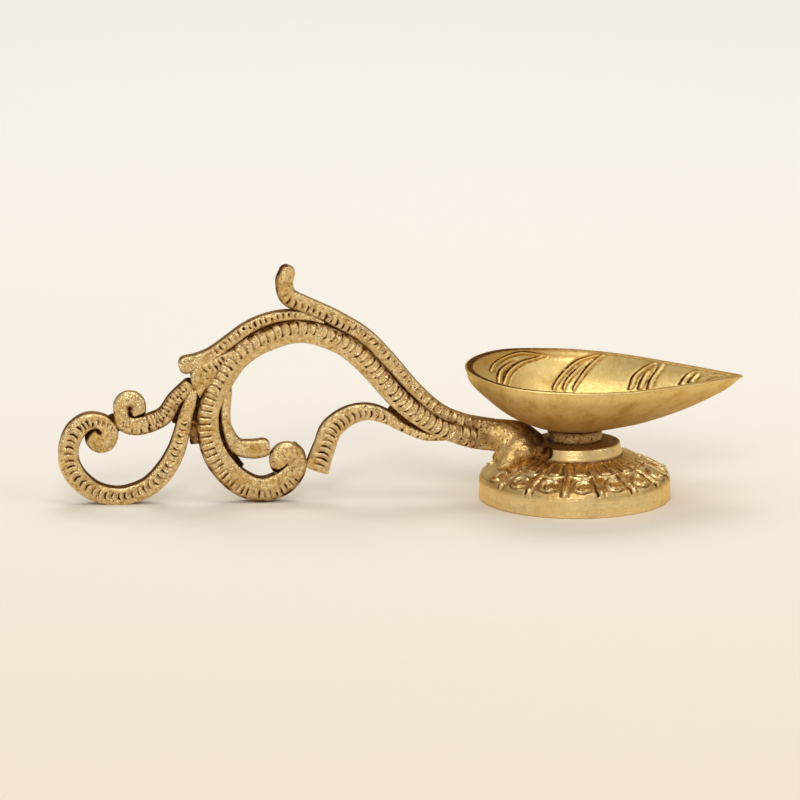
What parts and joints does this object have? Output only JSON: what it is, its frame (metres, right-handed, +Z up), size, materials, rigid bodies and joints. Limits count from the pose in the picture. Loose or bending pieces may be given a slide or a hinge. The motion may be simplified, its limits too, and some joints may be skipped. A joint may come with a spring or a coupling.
{
  "type": "aarti lamp",
  "caption": "Brass hand lamp: a pointed leaf-shaped oil bowl on a round lotus base, with an openwork scroll handle at one side.",
  "frame": {"origin": "centre of the base's round foot, on the table", "axes": "+X from the base's centre towards the leaf's tip, with the handle towards -X; +Z up, along the neck; the lamp is alike on both sides of Y = 0"},
  "size_m": [0.1776, 0.0564, 0.0623],
  "materials": {
    "cast_brass": "aged satin brass, dark in the recesses",
    "braze_metal": "smooth polished filler metal",
    "fastener_steel": "dull zinc-coated steel"
  },
  "bodies": {
    "root": {"leaf_bowl": "cast_brass", "neck_ring": "cast_brass", "lotus_base": "cast_brass", "scroll_handle": "cast_brass", "handle_braze": "braze_metal", "bowl_stud": "fastener_steel", "plain_washer": "fastener_steel", "hex_nut": "fastener_steel"}
  },
  "joints": []
}
